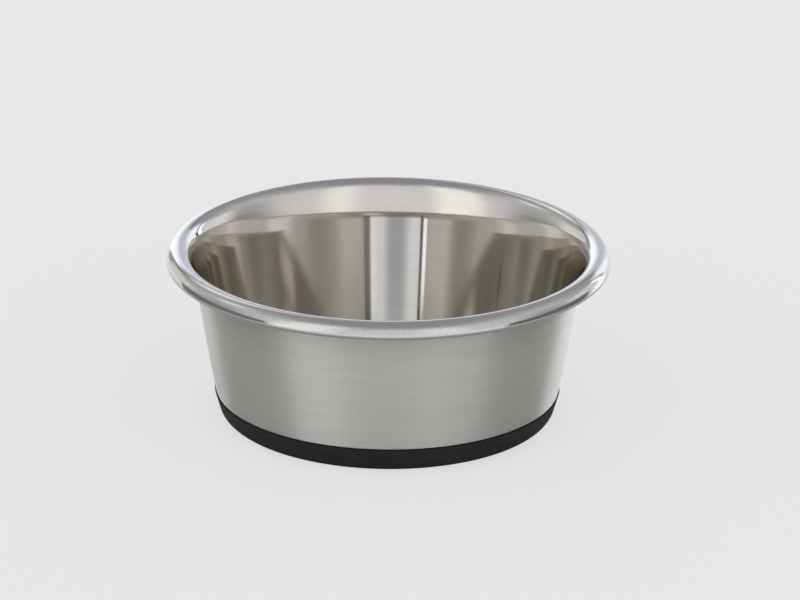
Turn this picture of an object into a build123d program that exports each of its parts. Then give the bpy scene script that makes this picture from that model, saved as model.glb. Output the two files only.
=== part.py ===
from build123d import *
import os
from math import acos, asin, cos, degrees, radians, sin, sqrt, tan

# Stainless feeding bowl with a bonded rubber foot. Millimetres, +Z up.
# The origin is the middle of the bowl, on the surface that it stands on.

# Driving dimensions: the steel
rim_diameter = 170.7  # over the rolled rim
overall_height = 67.2  # foot to the top of the rim
wall_taper = 8.9  # degrees from upright at the top of the wall, wider towards the rim
wall_bow = 1000.0  # inside radius of the wall's slight outward bow
flare_taper = 17.7  # degrees from upright where the flare runs into the shoulder
flare_radius = 68.0  # inside of the bowl, from the wall to the shoulder
sheet = 0.8  # steel thickness
shoulder_taper = 32.5  # degrees from upright where the shoulder runs into the crown
shoulder_radius = 13.4  # inside of the bowl, from the flare to the crown
crown_radius = 4.7  # outside of the roll, from the shoulder over the top
crown_turn = 87.0  # degrees that the crown goes on past the top
tuck_radius = 1.9  # outside of the roll, round its lower edge
tuck_turn = 93.0  # degrees, until the sheet runs level under the rim
return_radius = 4.7  # outside of the roll, underneath
return_turn = 65.0  # degrees, up to the cut edge
corner_radius = 10.0  # outside of the bend from floor to wall
panel_rise = 1.0  # how far the middle of the floor is raised
panel_bend = 6.0  # radius of the raised panel's two bends, at mid sheet
panel_margin = 6.0  # from the ring's bore to the raised panel

# Driving dimensions: the rubber and its bond
base_height = 10.2  # rubber, up the outside
foot_thickness = 3.3  # rubber under the floor
foot_reach = 10.5  # rubber in under the flat of the floor
side_taper = 16.0  # degrees from upright of the rubber's side
foot_edge_radius = 5.5  # lower outside edge
bore_edge_radius = 1.2  # lower inside edge
lip_thickness = 0.4  # rubber at the top of the band
lip_edge_radius = 0.15  # rounding of that top edge
bond_thickness = 0.11  # cured adhesive between steel and rubber
bond_clearance = 0.02  # to the steel and to the rubber, so that curved faces stay apart
groove_count = 3  # grip grooves in the sole
groove_radius = 0.8  # half-round section

# Down the inside of the steel: crown of the rim, shoulder, flare, bowed wall
crown_x = rim_diameter / 2 - tuck_radius - (crown_radius - tuck_radius) * sin(radians(crown_turn))
crown_z = overall_height - crown_radius
shoulder_arm = shoulder_radius - crown_radius
shoulder_x = crown_x + shoulder_arm * cos(radians(shoulder_taper))
shoulder_z = crown_z - shoulder_arm * sin(radians(shoulder_taper))
flare_arm = flare_radius - shoulder_radius
flare_x = shoulder_x + flare_arm * cos(radians(flare_taper))
flare_z = shoulder_z - flare_arm * sin(radians(flare_taper))
bow_arm = flare_radius + wall_bow
bow_x = flare_x - bow_arm * cos(radians(wall_taper))
bow_z = flare_z + bow_arm * sin(radians(wall_taper))

# The bend between wall and floor, concentric for steel, bond and rubber
bond_gap = bond_thickness + 2 * bond_clearance
floor_z = foot_thickness + bond_gap
bend_z = floor_z + corner_radius
bend_arm = wall_bow - corner_radius + sheet
foot_taper = degrees(asin((bow_z - bend_z) / bend_arm))
bend_x = bow_x + bend_arm * cos(radians(foot_taper))
bore_radius = bend_x - foot_reach

# The raised panel's step, two equal turns
panel_turn = degrees(acos(1 - panel_rise / (2 * panel_bend)))
under_bend = panel_bend - sheet / 2
over_bend = panel_bend + sheet / 2
panel_radius = bore_radius - panel_margin - 2 * panel_bend * sin(radians(panel_turn))


def bend_point(radius, height):
    """Point at a height on a circle about the bend's centre, on the outer side."""
    return (bend_x + sqrt(radius**2 - (bend_z - height) ** 2), height)


def sheet_face(shift):
    """One face of the steel from the axis to the rolled edge, shift in from its outer face."""
    height = floor_z + panel_rise + shift
    panel = Line((0, height), (panel_radius, height))
    step_down = JernArc(panel @ 1, panel % 1, under_bend + shift, -panel_turn)
    step_out = JernArc(step_down @ 1, step_down % 1, over_bend - shift, panel_turn)
    floor = Line(step_out @ 1, (bend_x, floor_z + shift))
    corner = JernArc(floor @ 1, floor % 1, corner_radius - shift, 90 - foot_taper)
    wall = JernArc(corner @ 1, corner % 1, wall_bow + sheet - shift, foot_taper - wall_taper)
    flare = JernArc(wall @ 1, wall % 1, flare_radius - sheet + shift, wall_taper - flare_taper)
    shoulder = JernArc(flare @ 1, flare % 1, shoulder_radius - sheet + shift, flare_taper - shoulder_taper)
    crown_sweep = 90 - shoulder_taper + crown_turn
    crown = JernArc(shoulder @ 1, shoulder % 1, crown_radius - sheet + shift, -crown_sweep)
    tuck = JernArc(crown @ 1, crown % 1, tuck_radius - sheet + shift, -tuck_turn)
    under = JernArc(tuck @ 1, tuck % 1, return_radius - sheet + shift, -return_turn)
    return panel @ 0, under @ 1


# Steel shell: the two faces of one sheet, closed at the axis and at the rolled edge
with BuildPart() as bowl_shell:
    with BuildSketch(Plane.XZ) as sheet_section:
        with BuildLine() as sheet_line:
            under_middle, edge_inside = sheet_face(0)
            over_middle, edge_outside = sheet_face(sheet)
            Line(under_middle, over_middle)
            Line(edge_inside, edge_outside)
        make_face()
    revolve(axis=Axis.Z)

# Bond: an even film on the bend and on the floor that the rubber covers
film_base = foot_thickness + bond_clearance
film_top = film_base + bond_thickness
film_inside = corner_radius + bond_clearance
film_outside = film_inside + bond_thickness
with BuildPart() as bond_film:
    with BuildSketch(Plane.XZ) as film_section:
        with BuildLine() as film_line:
            inside_edge = bend_point(film_inside, base_height)
            outside_edge = bend_point(film_outside, base_height)
            Polyline((bend_x, film_top), (bore_radius, film_top), (bore_radius, film_base))
            Line((bore_radius, film_base), (bend_x, film_base))
            RadiusArc((bend_x, film_base), outside_edge, -film_outside)
            Line(outside_edge, inside_edge)
            RadiusArc(inside_edge, (bend_x, film_top), film_inside)
        make_face()
    revolve(axis=Axis.Z)

# Rubber ring: flush with the wall outside, a flat sole with grip grooves below
rubber_bend = corner_radius + bond_gap
rubber_top = bend_point(rubber_bend, base_height)
lip_x = rubber_top[0] + lip_thickness
sole_x = lip_x - base_height * tan(radians(side_taper))
with BuildPart() as base_ring:
    with BuildSketch(Plane.XZ) as ring_section:
        with BuildLine() as ring_line:
            RadiusArc((bend_x, foot_thickness), rubber_top, -rubber_bend)
            Polyline(rubber_top, (lip_x, base_height), (sole_x, 0), (bore_radius, 0))
            Polyline((bore_radius, 0), (bore_radius, foot_thickness), (bend_x, foot_thickness))
        make_face()
        corners = ring_section.vertices()
        sole_corners = corners.group_by(Axis.Y)[0].sort_by(Axis.X)
        lip_corner = corners.sort_by(Axis.X)[-1]
        fillet(lip_corner, lip_edge_radius)
        fillet(sole_corners[-1], foot_edge_radius)
        fillet(sole_corners[0], bore_edge_radius)
        sole_ends = ring_section.edges().sort_by(Axis.Y)[0].vertices().sort_by(Axis.X)
        land = (sole_ends[-1].X - sole_ends[0].X) / (groove_count + 1)
        for number in range(1, groove_count + 1):
            with Locations((sole_ends[0].X + number * land, 0)):
                Circle(groove_radius, mode=Mode.SUBTRACT)
    revolve(axis=Axis.Z)

bowl_shell.part.label = "bowl_shell"
bond_film.part.label = "bond_film"
base_ring.part.label = "base_ring"

os.makedirs("parts", exist_ok=True)
export_step(bowl_shell.part, "parts/bowl_shell.step")
export_step(bond_film.part, "parts/bond_film.step")
export_step(base_ring.part, "parts/base_ring.step")
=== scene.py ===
import math

import bpy
import numpy as np
from mathutils import Matrix, Vector


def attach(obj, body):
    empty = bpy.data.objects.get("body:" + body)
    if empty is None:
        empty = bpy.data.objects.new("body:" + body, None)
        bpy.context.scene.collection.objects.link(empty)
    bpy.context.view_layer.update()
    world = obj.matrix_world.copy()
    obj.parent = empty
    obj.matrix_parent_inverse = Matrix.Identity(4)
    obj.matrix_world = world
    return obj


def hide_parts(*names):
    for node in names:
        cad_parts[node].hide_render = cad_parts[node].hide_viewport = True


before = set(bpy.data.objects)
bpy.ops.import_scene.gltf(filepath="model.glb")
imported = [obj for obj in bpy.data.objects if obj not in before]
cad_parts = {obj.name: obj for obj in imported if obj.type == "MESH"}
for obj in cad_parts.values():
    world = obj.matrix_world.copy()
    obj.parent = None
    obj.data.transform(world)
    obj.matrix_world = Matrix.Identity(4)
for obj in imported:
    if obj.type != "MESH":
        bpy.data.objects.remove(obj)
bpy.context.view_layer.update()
print("frame loaded:", sorted(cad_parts))

mm = 0.001
scene = bpy.context.scene
scene.view_settings.view_transform = "Standard"


# sRGB hex to linear red, green and blue, with alpha
def hexToLinear(code):
    srgb = np.array([int(code[i:i + 2], 16) for i in (1, 3, 5)]) / 255
    linear = np.where(srgb <= 0.04045, srgb / 12.92, ((srgb + 0.055) / 1.055) ** 2.4)
    return (*linear.tolist(), 1.0)


# adds a node with its settings, then fills each input or links a socket to it
def addNode(tree, kind, inputs, **settings):
    node = tree.nodes.new(kind)
    for name, value in settings.items():
        setattr(node, name, value)
    for key, value in inputs.items():
        if isinstance(value, bpy.types.NodeSocket):
            tree.links.new(value, node.inputs[key])
        else:
            node.inputs[key].default_value = value
    return node


# a material with an empty node tree
def newMaterial(name):
    material = bpy.data.materials.new(name)
    material.use_nodes = True
    material.node_tree.nodes.clear()
    return material, material.node_tree


# arc of a section: centre + radius (cos a, sin a), a in degrees from start to stop.
# side +1 faces away from the centre, -1 faces it. Rows are r, z and the normal's r, z.
def arcRun(centre, radius, start, stop, count, side):
    a = np.radians(np.linspace(start, stop, count + 1))
    ray = np.column_stack((np.cos(a), np.sin(a)))
    return np.hstack((np.array(centre) + radius * ray, side * ray))


# straight run of a section: a + t (b - a), facing (normal) the same all along
def lineRun(a, b, count, normal):
    t = np.linspace(0, 1, count + 1)[:, None]
    points = np.array(a) + t * (np.array(b) - np.array(a))
    return np.hstack((points, np.tile(np.array(normal, float), (count + 1, 1))))


# A section carried round Z: point(k, a) = (r_k cos a, r_k sin a, z_k).
# Runs meet end to end, with the outside on the right of the way they go, and each corner of a
# face takes its own run's normal, so tangent runs shade smoothly and edges between runs stay crisp.
# A section that starts and ends on the axis closes in two poles, any other closes on itself.
# The map is u = a / full turn, v = distance along the section / its length.
# Finishes are (steps of the section, material slot), in the order of the runs.
def revolve(name, runs, around, finishes):
    poles = runs[0][0, 0] == 0
    first = np.vstack([run[:-1] for run in runs])  # start of each step of the section
    last = np.vstack([run[1:] for run in runs])  # and its end
    steps = len(first)
    length = np.hypot(*(last - first)[:, :2].T)
    along = np.concatenate(([0], np.cumsum(length)))

    angle = np.linspace(0, 2 * np.pi, around, endpoint=False)
    rings = first[1:, :2] if poles else first[:, :2]
    points = np.empty((len(rings), around, 3))
    points[..., 0] = rings[:, :1] * np.cos(angle)
    points[..., 1] = rings[:, :1] * np.sin(angle)
    points[..., 2] = rings[:, 1:]
    points = points.reshape(-1, 3)
    if poles:
        points = np.vstack(([0, 0, first[0, 1]], points, [0, 0, last[-1, 1]]))

    # corner numbers: the ring that a step starts on and the next one, at one angle and the next
    step, turn = np.meshgrid(np.arange(steps), np.arange(around), indexing="ij")
    ringFrom = (step - 1) * around + 1 if poles else step * around
    ringTo = step * around + 1 if poles else (step + 1) % steps * around
    after = (turn + 1) % around
    quads = np.stack((ringFrom + turn, ringFrom + after, ringTo + after, ringTo + turn), -1)
    ends = np.stack((step, step, step + 1, step + 1), -1)
    turns = np.stack((turn, turn + 1, turn + 1, turn), -1)
    uv = np.stack((turns / around, along[ends] / along[-1]), -1)
    facing = np.where((ends == step[..., None])[..., None], first[step, None, 2:], last[step, None, 2:])
    theta = turns * 2 * np.pi / around
    normals = np.stack((facing[..., 0] * np.cos(theta), facing[..., 0] * np.sin(theta), facing[..., 1]), -1)

    # quads between rings, triangles at the poles, each as (corners, map, normals, step)
    groups = [(quads, uv, normals, step)]
    if poles:
        low, high = quads[0][:, [0, 2, 3]], quads[-1][:, [0, 1, 2]]
        low[:, 0], high[:, 2] = 0, len(points) - 1
        groups = [
            (low, uv[0][:, [0, 2, 3]], normals[0][:, [0, 2, 3]], step[0]),
            (quads[1:-1], uv[1:-1], normals[1:-1], step[1:-1]),
            (high, uv[-1][:, [0, 1, 2]], normals[-1][:, [0, 1, 2]], step[-1]),
        ]
    faces = sum((g[0].reshape(-1, g[0].shape[-1]).tolist() for g in groups), [])
    flatUv = np.concatenate([g[1].reshape(-1, 2) for g in groups])
    flatNormals = np.concatenate([g[2].reshape(-1, 3) for g in groups])
    flatSteps = np.concatenate([g[3].ravel() for g in groups])

    mesh = bpy.data.meshes.new(name)
    mesh.from_pydata((points * mm).tolist(), [], faces)
    layer = mesh.uv_layers.new(name="OFBake")
    layer.data.foreach_set("uv", flatUv.ravel())
    finishOfStep = np.repeat([finish for _, finish in finishes], [count for count, _ in finishes])
    mesh.polygons.foreach_set("material_index", finishOfStep[flatSteps].astype(np.int32))
    mesh.polygons.foreach_set("use_smooth", np.ones(len(faces), bool))
    mesh.normals_split_custom_set(flatNormals.tolist())
    mesh.update()
    piece = bpy.data.objects.new(name, mesh)
    scene.collection.objects.link(piece)
    print(name, "faces:", len(faces), "section length mm:", round(float(along[-1]), 2))
    return piece, float(along[-1])


# Camera: found from the photograph's outlines, at 800 pixels across
camera = {
    "place": (0.0, -2072.0, 822.1),  # mm
    "target": (4.615, 0.0, 45.52),  # mm, in the middle of the picture
    "roll": 0.601,  # degrees
    "focalPixels": 5749.2,
    "picturePixels": 800,
    "sensor": 36.0,  # mm
    "clipEnd": 50.0,  # m
}
cameraData = bpy.data.cameras.new("photoCamera")
cameraData.sensor_width = camera["sensor"]
cameraData.lens = camera["sensor"] * camera["focalPixels"] / camera["picturePixels"]
cameraData.clip_end = camera["clipEnd"]
photoCamera = bpy.data.objects.new("photoCamera", cameraData)
place = Vector(camera["place"]) * mm
ahead = (Vector(camera["target"]) * mm - place).normalized()
levelRight = ahead.cross(Vector((0, 0, 1))).normalized()
levelUp = levelRight.cross(ahead)
roll = math.radians(camera["roll"])
right = levelRight * math.cos(roll) + levelUp * math.sin(roll)
up = levelUp * math.cos(roll) - levelRight * math.sin(roll)
photoCamera.matrix_world = Matrix((
    (right.x, up.x, -ahead.x, place.x),
    (right.y, up.y, -ahead.y, place.y),
    (right.z, up.z, -ahead.z, place.z),
    (0, 0, 0, 1),
))
scene.collection.objects.link(photoCamera)
scene.camera = photoCamera
print("camera lens mm:", round(cameraData.lens, 2))


# Studio: a pale room with soft panels, as light from each direction.
# Azimuth 0 is behind the bowl, +90 to its right; each panel is (middle, half width, soft edge)
# in degrees across and up, how much it adds to the room, and the tint of its light.
studio = {
    "level": 1.12,
    "walls": 0.66,
    "lean": 0.18,  # more light on the camera's side than behind
    "ceiling": 0.38,
    "ceilingFrom": (34, 82),  # degrees up, walls to ceiling
    "wallTint": "#FFFFFF",
    "ceilingTint": "#FAF9FF",
    "panels": {
        "darkRoomBehind": {"across": (3, 46, 16), "up": (46, 21, 5), "adds": -0.11, "tint": "#FFFFFF"},
        "lampBehind": {"across": (-20, 12, 8), "up": (39, 6, 6), "adds": 0.85, "tint": "#FFFCF8"},
        "lampLeft": {"across": (-70, 8, 6), "up": (43, 6, 5), "adds": 0.5, "tint": "#FFFCF8"},
        "whiteBackdrop": {"across": (8.05, 29.95, 0.8), "up": (8, 17, 1.6), "adds": 0.96, "tint": "#E8EFFF"},
        "backdropGlow": {"across": (-20, 5, 3), "up": (8, 15, 4), "adds": 0.20, "tint": "#F4F8FF"},
        "backdropShade": {"across": (9.5, 12.5, 7), "up": (10, 16, 6), "adds": -0.63, "tint": "#F4F8FF"},
        "leftPost": {"across": (-25.8, 3.9, 0.4), "up": (10, 18, 2), "adds": -0.30, "tint": "#FFFFFF"},
        "rightPost": {"across": (39.7, 1.7, 0.4), "up": (10, 18, 2), "adds": -0.44, "tint": "#FFFFFF"},
        "windowStrip": {"across": (43.5, 2.1, 0.5), "up": (11, 11, 2), "adds": 1.45, "tint": "#F8FCFF"},
        "leftFlat": {"across": (-44, 16, 8), "up": (7, 14, 5), "adds": 0.30, "tint": "#FFFCF6"},
        "rightFlat": {"across": (60, 15, 7), "up": (7, 15, 5), "adds": 0.28, "tint": "#FFFFFF"},
        "keySoftbox": {"across": (-137, 15, 8), "up": (22, 38, 12), "adds": 0.35, "tint": "#FFFDFB"},
        "fillSoftbox": {"across": (150, 10, 9), "up": (18, 34, 12), "adds": 0.24, "tint": "#FFFFFF"},
        "leftGap": {"across": (-88, 14, 12), "up": (4, 23, 10), "adds": -0.18, "tint": "#FFFFFF"},
        "leftLowGap": {"across": (-86, 20, 10), "up": (0, 7, 5), "adds": -0.14, "tint": "#FFFAF4"},
        "rightGap": {"across": (92, 13, 11), "up": (4, 23, 10), "adds": -0.20, "tint": "#FFFFFF"},
        "rightLowGap": {"across": (92, 20, 10), "up": (0, 7, 5), "adds": -0.14, "tint": "#FFFAF4"},
    },
}
world = bpy.data.worlds.new("softStudio")
scene.world = world
world.use_nodes = True
tree = world.node_tree
tree.nodes.clear()
look = addNode(tree, "ShaderNodeTexCoord", {})
way = addNode(tree, "ShaderNodeSeparateXYZ", {0: look.outputs["Generated"]})
azimuthRadians = addNode(tree, "ShaderNodeMath", {0: way.outputs[0], 1: way.outputs[1]}, operation="ARCTAN2")
azimuth = addNode(tree, "ShaderNodeMath", {0: azimuthRadians.outputs[0]}, operation="DEGREES")
heightRadians = addNode(tree, "ShaderNodeMath", {0: way.outputs[2]}, operation="ARCSINE")
height = addNode(tree, "ShaderNodeMath", {0: heightRadians.outputs[0]}, operation="DEGREES")
wallLight = addNode(
    tree, "ShaderNodeMath",
    {0: way.outputs[1], 1: -studio["lean"], 2: studio["walls"]}, operation="MULTIPLY_ADD",
)
overhead = addNode(
    tree, "ShaderNodeMapRange",
    {"Value": height.outputs[0], "From Min": studio["ceilingFrom"][0], "From Max": studio["ceilingFrom"][1]},
    interpolation_type="SMOOTHSTEP",
)
roomLight = addNode(
    tree, "ShaderNodeMix", {0: overhead.outputs[0], 2: wallLight.outputs[0], 3: studio["ceiling"]},
)
roomTint = addNode(
    tree, "ShaderNodeMix",
    {0: overhead.outputs[0], 6: hexToLinear(studio["wallTint"]), 7: hexToLinear(studio["ceilingTint"])},
    data_type="RGBA",
)
room = addNode(
    tree, "ShaderNodeVectorMath", {0: roomTint.outputs[2], 1: roomLight.outputs[0]}, operation="MULTIPLY",
)
light = room.outputs[0]
for panel in studio["panels"].values():
    shares = []
    for angle, (middle, half, soft) in ((azimuth, panel["across"]), (height, panel["up"])):
        off = addNode(tree, "ShaderNodeMath", {0: angle.outputs[0], 1: middle}, operation="SUBTRACT")
        away = addNode(tree, "ShaderNodeMath", {0: off.outputs[0]}, operation="ABSOLUTE")
        share = addNode(
            tree, "ShaderNodeMapRange",
            {"Value": away.outputs[0], "From Min": half - soft, "From Max": half + soft,
             "To Min": 1, "To Max": 0},
            interpolation_type="SMOOTHSTEP",
        )
        shares.append(share.outputs[0])
    inside = addNode(tree, "ShaderNodeMath", {0: shares[0], 1: shares[1]}, operation="MULTIPLY")
    glow = tuple(panel["adds"] * part for part in hexToLinear(panel["tint"])[:3])
    added = addNode(
        tree, "ShaderNodeVectorMath", {0: inside.outputs[0], 1: glow, 2: light}, operation="MULTIPLY_ADD",
    )
    light = added.outputs[0]
sky = addNode(tree, "ShaderNodeBackground", {"Color": light, "Strength": studio["level"]})
addNode(tree, "ShaderNodeOutputWorld", {"Surface": sky.outputs[0]})
scene.cycles.max_bounces = 20  # the inside shows its own reflection many times over
scene.cycles.glossy_bounces = 20
scene.cycles.min_light_bounces = 14  # dim paths aren't cut short, so its ends stay free of specks
print("studio panels:", len(studio["panels"]))


# Floor: matt white studio paper. Paper scatters light evenly, so it takes the bowl's soft shadow.
# The camera sees it lifted to the photograph's pale grey, with the shadow thinned; the metal sees it lifted
# by a painted glow away from the bowl only, which leaves a painted shade on the paper round its foot.
floor = {
    "half": 6.0,  # m
    "colour": "#D2D1CE",
    "lift": 0.40,  # for the camera
    "tone": 0.785,  # even part of what the camera sees
    "evenShare": 0.65,
    "farLift": 0.60,  # painted glow for reflections, away from the bowl
    "shaded": (0.10, 0.31),  # m from the middle of the bowl: painted shade within the first, full glow past the second
}
edge = floor["half"]
floorMesh = bpy.data.meshes.new("paperFloor")
floorCorners = [(-edge, -edge, 0), (edge, -edge, 0), (edge, edge, 0), (-edge, edge, 0)]
floorMesh.from_pydata(floorCorners, [], [(0, 1, 2, 3)])
paperFloor = bpy.data.objects.new("paperFloor", floorMesh)
scene.collection.objects.link(paperFloor)
paper, tree = newMaterial("mattStudioPaper")
rays = addNode(tree, "ShaderNodeLightPath", {})
spot = addNode(tree, "ShaderNodeTexCoord", {})
off = addNode(tree, "ShaderNodeVectorMath", {0: spot.outputs["Object"]}, operation="LENGTH")
far = addNode(
    tree, "ShaderNodeMapRange",
    {"Value": off.outputs["Value"], "From Min": floor["shaded"][0], "From Max": floor["shaded"][1],
     "To Max": floor["farLift"]},
    interpolation_type="SMOOTHSTEP",
)
mirrored = addNode(
    tree, "ShaderNodeMath",
    {0: rays.outputs["Is Glossy Ray"], 1: rays.outputs["Is Transmission Ray"]}, operation="MAXIMUM",
)
inMetal = addNode(tree, "ShaderNodeMath", {0: mirrored.outputs[0], 1: far.outputs[0]}, operation="MULTIPLY")
lift = addNode(
    tree, "ShaderNodeMath",
    {0: rays.outputs["Is Camera Ray"], 1: floor["lift"], 2: inMetal.outputs[0]}, operation="MULTIPLY_ADD",
)
scatter = addNode(tree, "ShaderNodeBsdfDiffuse", {"Color": hexToLinear(floor["colour"])})
glow = addNode(tree, "ShaderNodeEmission", {"Strength": lift.outputs[0]})
lit = addNode(tree, "ShaderNodeAddShader", {0: scatter.outputs[0], 1: glow.outputs[0]})
even = addNode(tree, "ShaderNodeEmission", {"Strength": floor["tone"]})
evenShare = addNode(
    tree, "ShaderNodeMath", {0: rays.outputs["Is Camera Ray"], 1: floor["evenShare"]}, operation="MULTIPLY",
)
both = addNode(
    tree, "ShaderNodeMixShader", {0: evenShare.outputs[0], 1: lit.outputs[0], 2: even.outputs[0]},
)
addNode(tree, "ShaderNodeOutputMaterial", {"Surface": both.outputs[0]})
floorMesh.materials.append(paper)
print("floor ready")


# Cards stood round the bowl, for its steel to reflect and not seen themselves: two dark flags that
# shade the sides of the wall, a white one at the key and one behind the right edge.
# Middle and half width are mm in plan, edges are mm up, tone is what a reflection sees.
cards = {
    "leftFlag": {"middle": (-205, -44), "faces": (1, 0), "half": 108, "edges": (0, 74), "tone": 0.24},
    "rightFlag": {"middle": (205, -57), "faces": (-1, 0), "half": 98, "edges": (0, 74), "tone": 0.20},
    "keyCard": {"middle": (-215, -228), "faces": (0.68, 0.73), "half": 45, "edges": (25, 112), "tone": 1.35},
    "rightCard": {"middle": (205, 104), "faces": (-1, 0), "half": 42, "edges": (0, 70), "tone": 1.5},
}
for name, card in cards.items():
    front = Vector((*card["faces"], 0)).normalized()
    reach = Vector((-front.y, front.x, 0)) * card["half"]
    low, high = (Vector((*card["middle"], rise)) for rise in card["edges"])
    corners = [low - reach, low + reach, high + reach, high - reach]
    cardMesh = bpy.data.meshes.new(name)
    cardMesh.from_pydata([tuple(corner * mm) for corner in corners], [], [(0, 1, 2, 3)])
    standing = bpy.data.objects.new(name, cardMesh)
    scene.collection.objects.link(standing)
    standing.visible_camera = False
    standing.visible_diffuse = False  # the floor's light stays even
    standing.visible_shadow = False
    board, tree = newMaterial(name)
    shine = addNode(tree, "ShaderNodeEmission", {"Strength": card["tone"]})
    addNode(tree, "ShaderNodeOutputMaterial", {"Surface": shine.outputs[0]})
    cardMesh.materials.append(board)
print("cards:", len(cards))


# Bowl: one deep-drawn stainless sheet. Sizes in mm and degrees, the same as in the solids.
bowl = {
    "rimDiameter": 170.7,
    "overallHeight": 67.2,
    "wallTaper": 8.9,
    "wallBow": 1000.0,
    "flareTaper": 17.7,
    "flareRadius": 68.0,
    "shoulderTaper": 32.5,
    "shoulderRadius": 13.4,
    "crownRadius": 4.7,
    "crownTurn": 87.0,
    "tuckRadius": 1.9,
    "tuckTurn": 93.0,
    "returnRadius": 4.7,
    "returnTurn": 65.0,
    "sheet": 0.8,
    "cornerRadius": 10.0,
    "panelRise": 1.0,
    "panelBend": 6.0,
    "panelMargin": 6.0,
    "floorHeight": 3.45,  # underside, on rubber and bond
    "footReach": 10.5,  # of the rubber in under the floor
    "around": 480,
    "steps": {"panel": 4, "step": 4, "floor": 2, "corner": 12, "wall": 14, "flare": 8, "shoulder": 8,
              "crown": 28, "tuck": 12, "return": 6},
}


# centre of the next arc of a section: from one centre by a distance, at degrees below level
def nextCentre(centre, distance, taper):
    lean = math.radians(taper)
    return (centre[0] + distance * math.cos(lean), centre[1] - distance * math.sin(lean))


rollReach = bowl["crownRadius"] - bowl["tuckRadius"]
turnSine = math.sin(math.radians(bowl["crownTurn"]))
crownCentre = (
    bowl["rimDiameter"] / 2 - bowl["tuckRadius"] - rollReach * turnSine,
    bowl["overallHeight"] - bowl["crownRadius"],
)
shoulderCentre = nextCentre(crownCentre, bowl["shoulderRadius"] - bowl["crownRadius"], bowl["shoulderTaper"])
flareCentre = nextCentre(shoulderCentre, bowl["flareRadius"] - bowl["shoulderRadius"], bowl["flareTaper"])
bowCentre = nextCentre(flareCentre, -bowl["flareRadius"] - bowl["wallBow"], bowl["wallTaper"])
tuckStart = 90 - bowl["crownTurn"]  # degrees round the arcs of the roll
returnStart = tuckStart - bowl["tuckTurn"]
tuckCentre = nextCentre(crownCentre, rollReach, -tuckStart)
returnCentre = nextCentre(tuckCentre, bowl["tuckRadius"] - bowl["returnRadius"], -returnStart)
bendHeight = bowl["floorHeight"] + bowl["cornerRadius"]
bendArm = bowl["wallBow"] - bowl["cornerRadius"] + bowl["sheet"]
footTaper = math.degrees(math.asin((bowCentre[1] - bendHeight) / bendArm))
bendRadius = bowCentre[0] + bendArm * math.cos(math.radians(footTaper))
boreRadius = bendRadius - bowl["footReach"]
panelTurn = math.degrees(math.acos(1 - bowl["panelRise"] / (2 * bowl["panelBend"])))
panelEdge = boreRadius - bowl["panelMargin"]
panelRadius = panelEdge - 2 * bowl["panelBend"] * math.sin(math.radians(panelTurn))


# one face of the sheet from the axis to the rolled edge, shift in from its outer face;
# outside is +1 for the under and outer face, -1 for the inner one
def sheetFace(shift, outside):
    steps, half = bowl["steps"], bowl["sheet"] / 2
    top = bowl["floorHeight"] + bowl["panelRise"] + shift
    under, over = bowl["panelBend"] - half + shift, bowl["panelBend"] + half - shift
    low = bowl["floorHeight"] + shift
    grow = shift - bowl["sheet"]
    return [
        lineRun((0, top), (panelRadius, top), steps["panel"], (0, -outside)),
        arcRun((panelRadius, top - under), under, 90, 90 - panelTurn, steps["step"], -outside),
        arcRun((panelEdge, low + over), over, -90 - panelTurn, -90, steps["step"], outside),
        lineRun((panelEdge, low), (bendRadius, low), steps["floor"], (0, -outside)),
        arcRun(
            (bendRadius, bendHeight), bowl["cornerRadius"] - shift,
            -90, -footTaper, steps["corner"], outside,
        ),
        arcRun(bowCentre, bowl["wallBow"] - grow, -footTaper, -bowl["wallTaper"], steps["wall"], outside),
        arcRun(
            flareCentre, bowl["flareRadius"] + grow,
            180 - bowl["wallTaper"], 180 - bowl["flareTaper"], steps["flare"], -outside,
        ),
        arcRun(
            shoulderCentre, bowl["shoulderRadius"] + grow,
            180 - bowl["flareTaper"], 180 - bowl["shoulderTaper"], steps["shoulder"], -outside,
        ),
        arcRun(
            crownCentre, bowl["crownRadius"] + grow,
            180 - bowl["shoulderTaper"], tuckStart, steps["crown"], -outside,
        ),
        arcRun(tuckCentre, bowl["tuckRadius"] + grow, tuckStart, returnStart, steps["tuck"], -outside),
        arcRun(
            returnCentre, bowl["returnRadius"] + grow,
            returnStart, returnStart - bowl["returnTurn"], steps["return"], -outside,
        ),
    ]


outerFace = sheetFace(0, 1)
innerFace = [run[::-1] for run in sheetFace(bowl["sheet"], -1)[::-1]]
endTurn = math.radians(returnStart - bowl["returnTurn"])
cutEdge = lineRun(
    outerFace[-1][-1, :2], innerFace[0][0, :2], 2, (math.sin(endTurn), -math.cos(endTurn)),
)
brushedSteps = sum(len(run) - 1 for run in outerFace) + len(cutEdge) - 1
rimSteps = sum(len(run) - 1 for run in innerFace[:3])
insideSteps = sum(len(run) - 1 for run in innerFace[3:])
bowlShell, sheetLength = revolve(
    "bowlShell", outerFace + [cutEdge] + innerFace, bowl["around"],
    [(brushedSteps, 0), (rimSteps, 2), (insideSteps, 1)],
)
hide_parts("bowl_shell")
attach(bowlShell, "root")


# Stainless, brushed: a belt held to the turning bowl leaves hairlines round the outside. They
# spread reflections up and down, so the eye sees soft upright bands with a fine level grain.
brushed = {
    "colour": "#F1F1EC",
    "worn": "#E7E7E2",
    "roughness": (0.54, 0.60),
    "anisotropy": 1.0,
    "hairline": 0.28,  # mm wide; belt lines are about 0.05, drawn coarser to show
    "band": 1.6,  # mm, where passes of the belt overlap
    "streaks": 3.0,  # noise steps per radian round the bowl, about 25 mm long
    "depth": 0.003,  # mm
    "tintSpread": (0.6, 1.4),  # grain from worn to bright
    "dullSpread": (0.7, 1.3),
}
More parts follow.
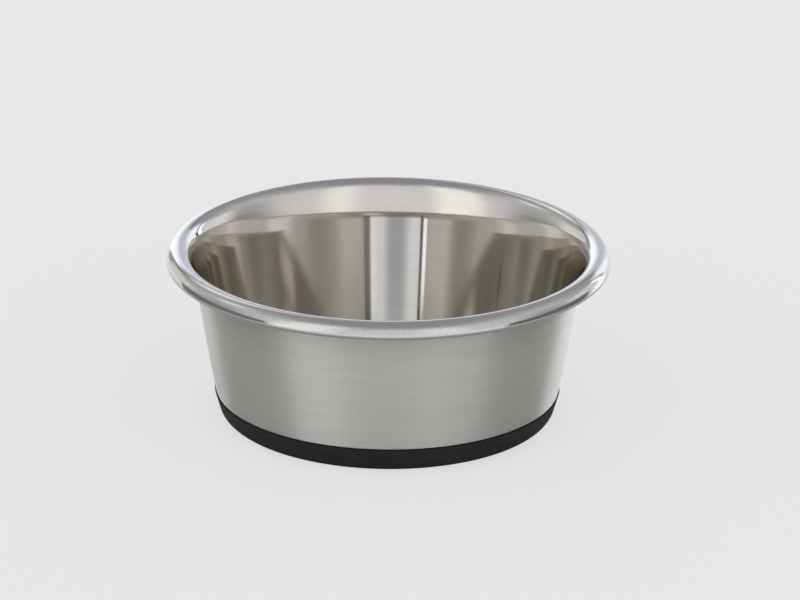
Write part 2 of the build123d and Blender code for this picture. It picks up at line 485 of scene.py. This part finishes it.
# Stainless, buffed: polished on a wheel inside, up to the roll, close to a mirror, with rings too
# fine to count, hazy patches and a slight ripple from the drawing press.
buffed = {
    "colour": "#D3D0CA",
    "haze": "#CECBC5",
    "roughness": (0.042, 0.064),
    "anisotropy": 0.5,
    "ring": 0.5,  # mm wide; drawn coarser than the polish to show
    "cloud": 14.0,  # mm, hazy patches
    "ripple": 12.0,  # mm
    "rippleDepth": 0.0004,  # mm
    "streaks": 1.6,  # noise steps per radian
    "depth": 0.00006,  # mm
    "spread": (0.75, 1.25),  # rings and haze together, from hazy to clear
}
# Stainless, satin: the roll is only dressed with a soft wheel, so it keeps a faint orange peel that
# breaks the reflections into specks, a little duller and cooler than the inside.
satin = {
    "colour": "#CBCAC8",
    "pit": "#C1C0BE",
    "roughness": (0.10, 0.17),
    "peel": 0.8,  # mm
    "depth": 0.004,  # mm
    "spread": (0.35, 0.65),  # peel from pit to crest
}


# turn of the hairlines and rings against the radial tangent, in full turns
lineTurn = 0.25


# coordinates for level lines: (cos a, sin a) times streaks, and distance along the sheet over width
def lineCoordinates(tree, streaks, width):
    spot = addNode(tree, "ShaderNodeTexCoord", {})
    flat = addNode(
        tree, "ShaderNodeVectorMath", {0: spot.outputs["Object"], 1: (1, 1, 0)}, operation="MULTIPLY",
    )
    ray = addNode(tree, "ShaderNodeVectorMath", {0: flat.outputs[0]}, operation="NORMALIZE")
    spread = addNode(tree, "ShaderNodeSeparateXYZ", {0: spot.outputs["UV"]})
    along = addNode(
        tree, "ShaderNodeMath", {0: spread.outputs[1], 1: sheetLength / width}, operation="MULTIPLY",
    )
    lift = addNode(tree, "ShaderNodeCombineXYZ", {2: along.outputs[0]})
    return addNode(
        tree, "ShaderNodeVectorMath",
        {0: ray.outputs[0], 1: (streaks, streaks, 0), 2: lift.outputs[0]}, operation="MULTIPLY_ADD",
    ).outputs[0]


brushedStainless, tree = newMaterial("brushedStainless")
fine = addNode(
    tree, "ShaderNodeTexNoise",
    {"Vector": lineCoordinates(tree, brushed["streaks"], brushed["hairline"]), "Scale": 1, "Detail": 2},
)
broad = addNode(
    tree, "ShaderNodeTexNoise",
    {"Vector": lineCoordinates(tree, brushed["streaks"] / 2, brushed["band"]), "Scale": 1, "Detail": 3},
)
grain = addNode(tree, "ShaderNodeMath", {0: fine.outputs[0], 1: broad.outputs[0]}, operation="ADD")
share = addNode(
    tree, "ShaderNodeMapRange",
    {"Value": grain.outputs[0], "From Min": brushed["tintSpread"][0], "From Max": brushed["tintSpread"][1]},
)
colour = addNode(
    tree, "ShaderNodeMix",
    {0: share.outputs[0], 6: hexToLinear(brushed["worn"]), 7: hexToLinear(brushed["colour"])},
    data_type="RGBA",
)
dullness = addNode(
    tree, "ShaderNodeMapRange",
    {"Value": grain.outputs[0], "From Min": brushed["dullSpread"][0], "From Max": brushed["dullSpread"][1],
     "To Min": brushed["roughness"][1], "To Max": brushed["roughness"][0]},
)
relief = addNode(
    tree, "ShaderNodeBump", {"Height": fine.outputs[0], "Distance": brushed["depth"] * mm, "Strength": 1},
)
level = addNode(tree, "ShaderNodeTangent", {}, direction_type="RADIAL", axis="Z")
steel = addNode(
    tree, "ShaderNodeBsdfPrincipled",
    {"Base Color": colour.outputs[2], "Metallic": 1, "Roughness": dullness.outputs[0],
     "Anisotropic": brushed["anisotropy"], "Anisotropic Rotation": lineTurn,
     "Normal": relief.outputs[0], "Tangent": level.outputs[0]},
)
addNode(tree, "ShaderNodeOutputMaterial", {"Surface": steel.outputs[0]})

buffedStainless, tree = newMaterial("buffedStainless")
rings = addNode(
    tree, "ShaderNodeTexNoise",
    {"Vector": lineCoordinates(tree, buffed["streaks"], buffed["ring"]), "Scale": 1, "Detail": 2},
)
spot = addNode(tree, "ShaderNodeTexCoord", {})
clouds = addNode(
    tree, "ShaderNodeTexNoise",
    {"Vector": spot.outputs["Object"], "Scale": 1 / (buffed["cloud"] * mm), "Detail": 4},
)
ripple = addNode(
    tree, "ShaderNodeTexNoise",
    {"Vector": spot.outputs["Object"], "Scale": 1 / (buffed["ripple"] * mm), "Detail": 1},
)
mixed = addNode(tree, "ShaderNodeMath", {0: rings.outputs[0], 1: clouds.outputs[0]}, operation="ADD")
share = addNode(
    tree, "ShaderNodeMapRange",
    {"Value": mixed.outputs[0], "From Min": buffed["spread"][0], "From Max": buffed["spread"][1]},
)
colour = addNode(
    tree, "ShaderNodeMix",
    {0: share.outputs[0], 6: hexToLinear(buffed["haze"]), 7: hexToLinear(buffed["colour"])},
    data_type="RGBA",
)
dullness = addNode(
    tree, "ShaderNodeMapRange",
    {"Value": mixed.outputs[0], "From Min": buffed["spread"][0], "From Max": buffed["spread"][1],
     "To Min": buffed["roughness"][1], "To Max": buffed["roughness"][0]},
)
waves = addNode(
    tree, "ShaderNodeBump",
    {"Height": ripple.outputs[0], "Distance": buffed["rippleDepth"] * mm, "Strength": 1},
)
relief = addNode(
    tree, "ShaderNodeBump",
    {"Height": rings.outputs[0], "Distance": buffed["depth"] * mm, "Strength": 1,
     "Normal": waves.outputs[0]},
)
level = addNode(tree, "ShaderNodeTangent", {}, direction_type="RADIAL", axis="Z")
steel = addNode(
    tree, "ShaderNodeBsdfPrincipled",
    {"Base Color": colour.outputs[2], "Metallic": 1, "Roughness": dullness.outputs[0],
     "Anisotropic": buffed["anisotropy"], "Anisotropic Rotation": lineTurn,
     "Normal": relief.outputs[0], "Tangent": level.outputs[0]},
)
addNode(tree, "ShaderNodeOutputMaterial", {"Surface": steel.outputs[0]})

satinStainless, tree = newMaterial("satinStainless")
spot = addNode(tree, "ShaderNodeTexCoord", {})
peel = addNode(
    tree, "ShaderNodeTexNoise",
    {"Vector": spot.outputs["Object"], "Scale": 1 / (satin["peel"] * mm), "Detail": 3},
)
share = addNode(
    tree, "ShaderNodeMapRange",
    {"Value": peel.outputs[0], "From Min": satin["spread"][0], "From Max": satin["spread"][1]},
)
colour = addNode(
    tree, "ShaderNodeMix",
    {0: share.outputs[0], 6: hexToLinear(satin["pit"]), 7: hexToLinear(satin["colour"])},
    data_type="RGBA",
)
dullness = addNode(
    tree, "ShaderNodeMapRange",
    {"Value": peel.outputs[0], "From Min": satin["spread"][0], "From Max": satin["spread"][1],
     "To Min": satin["roughness"][1], "To Max": satin["roughness"][0]},
)
relief = addNode(
    tree, "ShaderNodeBump", {"Height": peel.outputs[0], "Distance": satin["depth"] * mm, "Strength": 1},
)
steel = addNode(
    tree, "ShaderNodeBsdfPrincipled",
    {"Base Color": colour.outputs[2], "Metallic": 1, "Roughness": dullness.outputs[0],
     "Normal": relief.outputs[0]},
)
addNode(tree, "ShaderNodeOutputMaterial", {"Surface": steel.outputs[0]})
for finish in (brushedStainless, buffedStainless, satinStainless):
    bowlShell.data.materials.append(finish)
print("steel finishes ready")


# Foot: the moulded rubber ring, with its rounded edges and the grip grooves of its sole
foot = {
    "height": 10.2,
    "thickness": 3.3,
    "sideTaper": 16.0,
    "edgeRadius": 5.5,
    "boreEdgeRadius": 1.2,
    "lipThickness": 0.4,
    "lipEdgeRadius": 0.15,
    "bond": 0.15,  # adhesive and its clearance
    "grooves": 3,
    "grooveRadius": 0.8,
    "around": 320,
    "steps": {"side": 10, "edge": 14, "lip": 6, "top": 1, "bend": 22, "floor": 4, "bore": 3, "sole": 2,
              "groove": 10},
}
lean = math.radians(foot["sideTaper"])
rubberBend = bowl["cornerRadius"] + foot["bond"]
bendEnd = -math.degrees(math.asin((bendHeight - foot["height"]) / rubberBend))
rubberTop = bendRadius + rubberBend * math.cos(math.radians(bendEnd))
soleCorner = rubberTop + foot["lipThickness"] - foot["height"] * math.tan(lean)


# centre of a circle that touches the leaning side from within, at a height
def insideSide(radius, height):
    return (soleCorner + height * math.tan(lean) - radius / math.cos(lean), height)


edgeCentre = insideSide(foot["edgeRadius"], foot["edgeRadius"])
lipCentre = insideSide(foot["lipEdgeRadius"], foot["height"] - foot["lipEdgeRadius"])
soleStart, soleStop = boreRadius + foot["boreEdgeRadius"], edgeCentre[0]
land = (soleStop - soleStart) / (foot["grooves"] + 1)
steps = foot["steps"]
edgeRun = arcRun(edgeCentre, foot["edgeRadius"], -90, -foot["sideTaper"], steps["edge"], 1)
lipRun = arcRun(lipCentre, foot["lipEdgeRadius"], -foot["sideTaper"], 90, steps["lip"], 1)
bendRun = arcRun((bendRadius, bendHeight), rubberBend, bendEnd, -90, steps["bend"], -1)
boreRun = arcRun((soleStart, foot["boreEdgeRadius"]), foot["boreEdgeRadius"], 180, 270, steps["lip"], 1)
soleRuns = []
reach = soleStart
for groove in range(1, foot["grooves"] + 1):
    middle = soleStart + groove * land
    soleRuns.append(lineRun((reach, 0), (middle - foot["grooveRadius"], 0), steps["sole"], (0, -1)))
    soleRuns.append(arcRun((middle, 0), foot["grooveRadius"], 180, 0, steps["groove"], -1))
    reach = middle + foot["grooveRadius"]
soleRuns.append(lineRun((reach, 0), (soleStop, 0), steps["sole"], (0, -1)))
footRuns = soleRuns + [
    edgeRun,
    lineRun(edgeRun[-1, :2], lipRun[0, :2], steps["side"], (math.cos(lean), -math.sin(lean))),
    lipRun,
    lineRun(lipRun[-1, :2], (rubberTop, foot["height"]), steps["top"], (0, 1)),
    bendRun,
    lineRun((bendRadius, foot["thickness"]), (boreRadius, foot["thickness"]), steps["floor"], (0, 1)),
    lineRun((boreRadius, foot["thickness"]), boreRun[0, :2], steps["bore"], (-1, 0)),
    boreRun,
]
footSteps = sum(len(run) - 1 for run in footRuns)
baseRing, _ = revolve("baseRing", footRuns, foot["around"], [(footSteps, 0)])
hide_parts("base_ring")
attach(baseRing, "root")

# Rubber, black, moulded: carbon black soaks up the light, and the tool's blasted skin leaves a matt
# fine grain, greyer where handling has polished or dusted it.
rubber = {
    "colour": "#1D1C1E",
    "dust": "#2B2A2C",
    "shadeColour": "#030303",  # painted shade: the seam's shadow under the steel and the contact shadow along the foot
    "roughness": (0.50, 0.66),
    "grain": 0.6,  # mm; a blasted tool leaves about 0.1, drawn coarser to show
    "patch": 11.0,  # mm
    "depth": 0.02,  # mm
    "spread": (0.75, 1.3),  # grain and patches together, from bare rubber to dusty
    "specular": 0.32,
    "shadeReach": (4.55, 4.95),  # mm from mid height, where the painted shade starts and is full
    "shadeRoughness": 0.95,
}
mouldedRubber, tree = newMaterial("mouldedRubber")
spot = addNode(tree, "ShaderNodeTexCoord", {})
skin = addNode(
    tree, "ShaderNodeTexNoise",
    {"Vector": spot.outputs["Object"], "Scale": 1 / (rubber["grain"] * mm), "Detail": 3},
)
patches = addNode(
    tree, "ShaderNodeTexNoise",
    {"Vector": spot.outputs["Object"], "Scale": 1 / (rubber["patch"] * mm), "Detail": 4},
)
mixed = addNode(tree, "ShaderNodeMath", {0: skin.outputs[0], 1: patches.outputs[0]}, operation="ADD")
share = addNode(
    tree, "ShaderNodeMapRange",
    {"Value": mixed.outputs[0], "From Min": rubber["spread"][0], "From Max": rubber["spread"][1]},
)
colour = addNode(
    tree, "ShaderNodeMix",
    {0: share.outputs[0], 6: hexToLinear(rubber["colour"]), 7: hexToLinear(rubber["dust"])},
    data_type="RGBA",
)
dullness = addNode(
    tree, "ShaderNodeMapRange",
    {"Value": mixed.outputs[0], "From Min": rubber["spread"][0], "From Max": rubber["spread"][1],
     "To Min": rubber["roughness"][0], "To Max": rubber["roughness"][1]},
)
relief = addNode(
    tree, "ShaderNodeBump", {"Height": skin.outputs[0], "Distance": rubber["depth"] * mm, "Strength": 1},
)
# painted shade: the rubber turns near black and rougher towards its top and bottom edges, for the seam's
# shadow under the steel and the contact shadow on the floor
up = addNode(tree, "ShaderNodeSeparateXYZ", {0: spot.outputs["Object"]})
offMiddle = addNode(
    tree, "ShaderNodeMath", {0: up.outputs[2], 1: foot["height"] / 2 * mm}, operation="SUBTRACT",
)
toEdge = addNode(tree, "ShaderNodeMath", {0: offMiddle.outputs[0]}, operation="ABSOLUTE")
shadeMask = addNode(
    tree, "ShaderNodeMapRange",
    {"Value": toEdge.outputs[0], "From Min": rubber["shadeReach"][0] * mm, "From Max": rubber["shadeReach"][1] * mm},
    interpolation_type="SMOOTHSTEP",
)
shadedColour = addNode(
    tree, "ShaderNodeMix",
    {0: shadeMask.outputs[0], 6: colour.outputs[2], 7: hexToLinear(rubber["shadeColour"])}, data_type="RGBA",
)
shadedDull = addNode(
    tree, "ShaderNodeMix", {0: shadeMask.outputs[0], 2: dullness.outputs[0], 3: rubber["shadeRoughness"]},
)
matt = addNode(
    tree, "ShaderNodeBsdfPrincipled",
    {"Base Color": shadedColour.outputs[2], "Roughness": shadedDull.outputs[0],
     "Specular IOR Level": rubber["specular"], "Normal": relief.outputs[0]},
)
addNode(tree, "ShaderNodeOutputMaterial", {"Surface": matt.outputs[0]})
baseRing.data.materials.append(mouldedRubber)
print("rubber foot ready")


# Adhesive, cured polyurethane film: a dark, faintly satin line between steel and rubber
adhesive = {
    "colour": "#2B2A28",
    "thin": "#3A3936",
    "roughness": 0.42,
    "flow": 3.0,  # mm
    "depth": 0.01,  # mm
}
curedAdhesive, tree = newMaterial("curedAdhesive")
spot = addNode(tree, "ShaderNodeTexCoord", {})
flow = addNode(
    tree, "ShaderNodeTexNoise",
    {"Vector": spot.outputs["Object"], "Scale": 1 / (adhesive["flow"] * mm), "Detail": 3},
)
colour = addNode(
    tree, "ShaderNodeMix",
    {0: flow.outputs[0], 6: hexToLinear(adhesive["colour"]), 7: hexToLinear(adhesive["thin"])},
    data_type="RGBA",
)
relief = addNode(
    tree, "ShaderNodeBump", {"Height": flow.outputs[0], "Distance": adhesive["depth"] * mm, "Strength": 1},
)
film = addNode(
    tree, "ShaderNodeBsdfPrincipled",
    {"Base Color": colour.outputs[2], "Roughness": adhesive["roughness"], "Normal": relief.outputs[0]},
)
addNode(tree, "ShaderNodeOutputMaterial", {"Surface": film.outputs[0]})
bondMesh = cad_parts["bond_film"].data
bondMesh.materials.clear()
bondMesh.materials.append(curedAdhesive)
print("adhesive ready")
